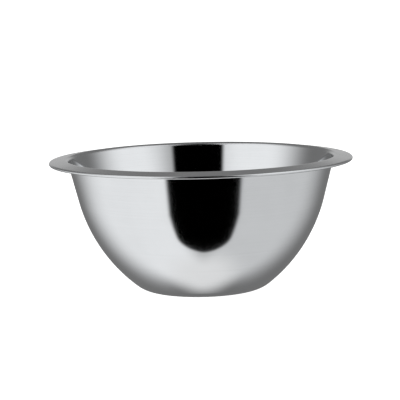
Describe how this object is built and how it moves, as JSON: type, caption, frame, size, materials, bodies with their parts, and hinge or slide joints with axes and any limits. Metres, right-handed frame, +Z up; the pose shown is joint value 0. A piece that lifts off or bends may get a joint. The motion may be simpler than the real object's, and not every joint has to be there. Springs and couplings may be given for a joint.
{
  "type": "mixing bowl",
  "caption": "Round stainless steel mixing bowl with a flat base, curved belly, straight upper wall, wide flat rim and rolled edge.",
  "frame": {"origin": "centre of the flat face that the bowl stands on", "axes": "+Z up along the bowl's axis of revolution; +X and +Y are free, because the bowl is round"},
  "size_m": [0.282, 0.282, 0.1247],
  "materials": {
    "polished_steel": "polished stainless steel, faint turning lines",
    "rim_steel": "satin-polished stainless steel, turning lines",
    "underside_steel": "turned stainless steel, rubbed where it stands"
  },
  "bodies": {
    "root": {"base_disc": "underside_steel", "base_knuckle": "polished_steel", "belly": "polished_steel", "upper_wall": "polished_steel", "rim_shoulder": "rim_steel", "rim_flange": "rim_steel", "rolled_edge": "rim_steel"}
  },
  "joints": []
}
